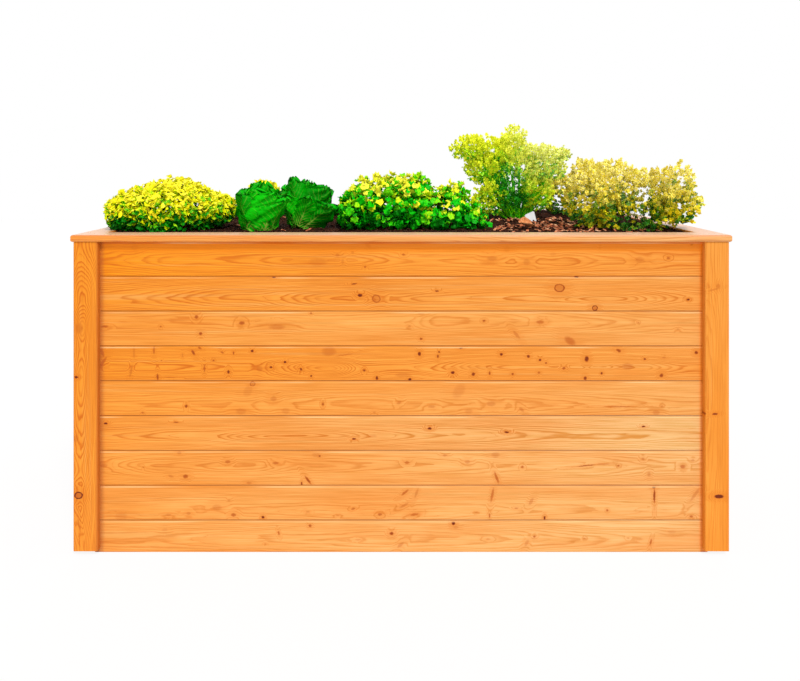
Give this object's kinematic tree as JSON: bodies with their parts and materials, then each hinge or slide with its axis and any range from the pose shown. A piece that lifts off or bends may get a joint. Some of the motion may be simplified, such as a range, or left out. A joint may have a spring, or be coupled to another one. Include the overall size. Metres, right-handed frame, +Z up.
{
  "type": "raised garden bed",
  "caption": "Tall rectangular timber raised bed: tongue-and-groove walls between grooved corner posts, mitred cap, filled with soil and planted with salad and herbs.",
  "frame": {"origin": "middle of the footprint, on the ground", "axes": "+X along the bed to the viewer's right, +Y from the front to the back, +Z up"},
  "size_m": [1.84, 0.925, 1.227],
  "materials": {
    "board_wood": "satin",
    "post_wood": "satin",
    "cap_wood": "satin",
    "brace_wood": "matte",
    "screw_steel": "satin",
    "liner_film": "matte",
    "mesh_wire": "satin",
    "soil_mix": "matte",
    "frilly_leaf": "matte",
    "cos_leaf": "matte",
    "lettuce_leaf": "matte",
    "parsley_leaf": "matte",
    "golden_leaf": "matte"
  },
  "bodies": {
    "root": {"back_board_1": "board_wood", "back_board_2": "board_wood", "back_board_3": "board_wood", "back_board_4": "board_wood", "back_board_5": "board_wood", "back_board_6": "board_wood", "back_board_7": "board_wood", "back_board_8": "board_wood", "back_board_9": "board_wood", "cap_rail_back": "cap_wood", "cap_rail_front": "cap_wood", "cap_rail_left": "cap_wood", "cap_rail_right": "cap_wood", "cap_screws": "screw_steel", "cos_lettuce_left": "cos_leaf", "cos_lettuce_right": "cos_leaf", "cross_tie": "brace_wood", "frame_screws": "screw_steel", "frilly_lettuce_back": "frilly_leaf", "frilly_lettuce_left": "frilly_leaf", "front_board_1": "board_wood", "front_board_2": "board_wood", "front_board_3": "board_wood", "front_board_4": "board_wood", "front_board_5": "board_wood", "front_board_6": "board_wood", "front_board_7": "board_wood", "front_board_8": "board_wood", "front_board_9": "board_wood", "golden_bush_back": "golden_leaf", "golden_bush_right": "golden_leaf", "ground_mesh": "mesh_wire", "leaf_lettuce_middle": "lettuce_leaf", "left_board_1": "board_wood", "left_board_2": "board_wood", "left_board_3": "board_wood", "left_board_4": "board_wood", "left_board_5": "board_wood", "left_board_6": "board_wood", "left_board_7": "board_wood", "left_board_8": "board_wood", "left_board_9": "board_wood", "liner": "liner_film", "parsley_bush": "parsley_leaf", "post_back_left": "post_wood", "post_back_right": "post_wood", "post_front_left": "post_wood", "post_front_right": "post_wood", "right_board_1": "board_wood", "right_board_2": "board_wood", "right_board_3": "board_wood", "right_board_4": "board_wood", "right_board_5": "board_wood", "right_board_6": "board_wood", "right_board_7": "board_wood", "right_board_8": "board_wood", "right_board_9": "board_wood", "soil": "soil_mix", "stile_back": "brace_wood", "stile_front": "brace_wood"}
  },
  "joints": []
}
